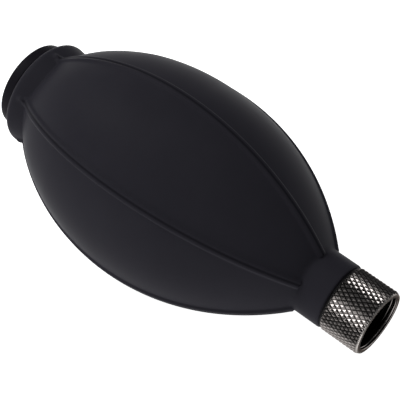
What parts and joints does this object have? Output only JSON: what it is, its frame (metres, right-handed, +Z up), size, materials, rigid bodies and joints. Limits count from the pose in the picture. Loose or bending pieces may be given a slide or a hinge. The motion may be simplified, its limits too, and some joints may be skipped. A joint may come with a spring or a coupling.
{
  "type": "dust blower bulb",
  "caption": "Hand-squeezed ribbed rubber air blower bulb with a one-way filtered inlet at the rear and a knurled sleeve with a threaded nozzle socket at the front.",
  "frame": {"origin": "centre of the nozzle socket's mouth, on the bulb's axis", "axes": "+X along the bulb's axis and out of the nozzle socket, +Z up with the bulb lying on its side"},
  "size_m": [0.1103, 0.0548, 0.0548],
  "materials": {
    "bulb_rubber": "satin moulded rubber",
    "seal_rubber": "matte moulded rubber",
    "dark_metal": "turned and knurled, dark grey anodised",
    "valve_plastic": "moulded",
    "cap_plastic": "moulded, satin",
    "spring_steel": "drawn wire and stamped sheet",
    "filter_felt": "needled felt"
  },
  "bodies": {
    "bulb": {"bulb_shell": "bulb_rubber", "neck_insert": "dark_metal", "neck_washer": "seal_rubber", "outlet_valve_seat": "valve_plastic", "outlet_valve_stop": "valve_plastic", "outlet_valve_spring": "spring_steel", "valve_housing": "valve_plastic", "housing_gasket": "seal_rubber", "filter_screen": "spring_steel", "filter_disc": "filter_felt", "valve_cap": "cap_plastic"},
    "thumb_wall": {"thumb_wall": "bulb_rubber"},
    "finger_wall": {"finger_wall": "bulb_rubber"},
    "gasket": {"nozzle_gasket": "seal_rubber"},
    "sleeve": {"knurled_sleeve": "dark_metal"},
    "inlet_valve": {"inlet_poppet": "valve_plastic", "poppet_seal": "seal_rubber", "poppet_spring": "spring_steel", "spring_clip": "spring_steel"},
    "outlet_valve": {"outlet_valve_disc": "seal_rubber"}
  },
  "joints": [
    {"name": "squeeze_thumb", "type": "slide", "parent": "bulb", "child": "thumb_wall", "axis": [0, 0.9813, -0.1925], "range_m": [0, 0.0075], "stiffness_N_per_m": 900},
    {"name": "squeeze_fingers", "type": "slide", "parent": "bulb", "child": "finger_wall", "axis": [0, -0.9813, 0.1925], "range_m": [0, 0.0075], "stiffness_N_per_m": 900},
    {"name": "sleeve_lift", "type": "slide", "parent": "bulb", "child": "gasket", "axis": [1, 0, 0], "range_m": [0, 0.002]},
    {"name": "sleeve_unscrew", "type": "hinge", "parent": "gasket", "child": "sleeve", "pos_m": [0, 0, 0], "axis": [1, 0, 0], "range_deg": [0, 720]},
    {"name": "inlet_valve_lift", "type": "slide", "parent": "bulb", "child": "inlet_valve", "axis": [1, 0, 0], "range_m": [0, 0.0014], "stiffness_N_per_m": 30, "springref_m": -0.002, "deforming": ["poppet_spring"]},
    {"name": "outlet_valve_lift", "type": "slide", "parent": "bulb", "child": "outlet_valve", "axis": [1, 0, 0], "range_m": [0, 0.0014], "stiffness_N_per_m": 20, "springref_m": -0.002, "deforming": ["outlet_valve_spring"]}
  ],
  "couplings": [
    {"joint": "squeeze_fingers", "follows": "squeeze_thumb", "ratio": 1},
    {"joint": "sleeve_lift", "follows": "sleeve_unscrew", "m_per_rad": 0.00015915}
  ]
}
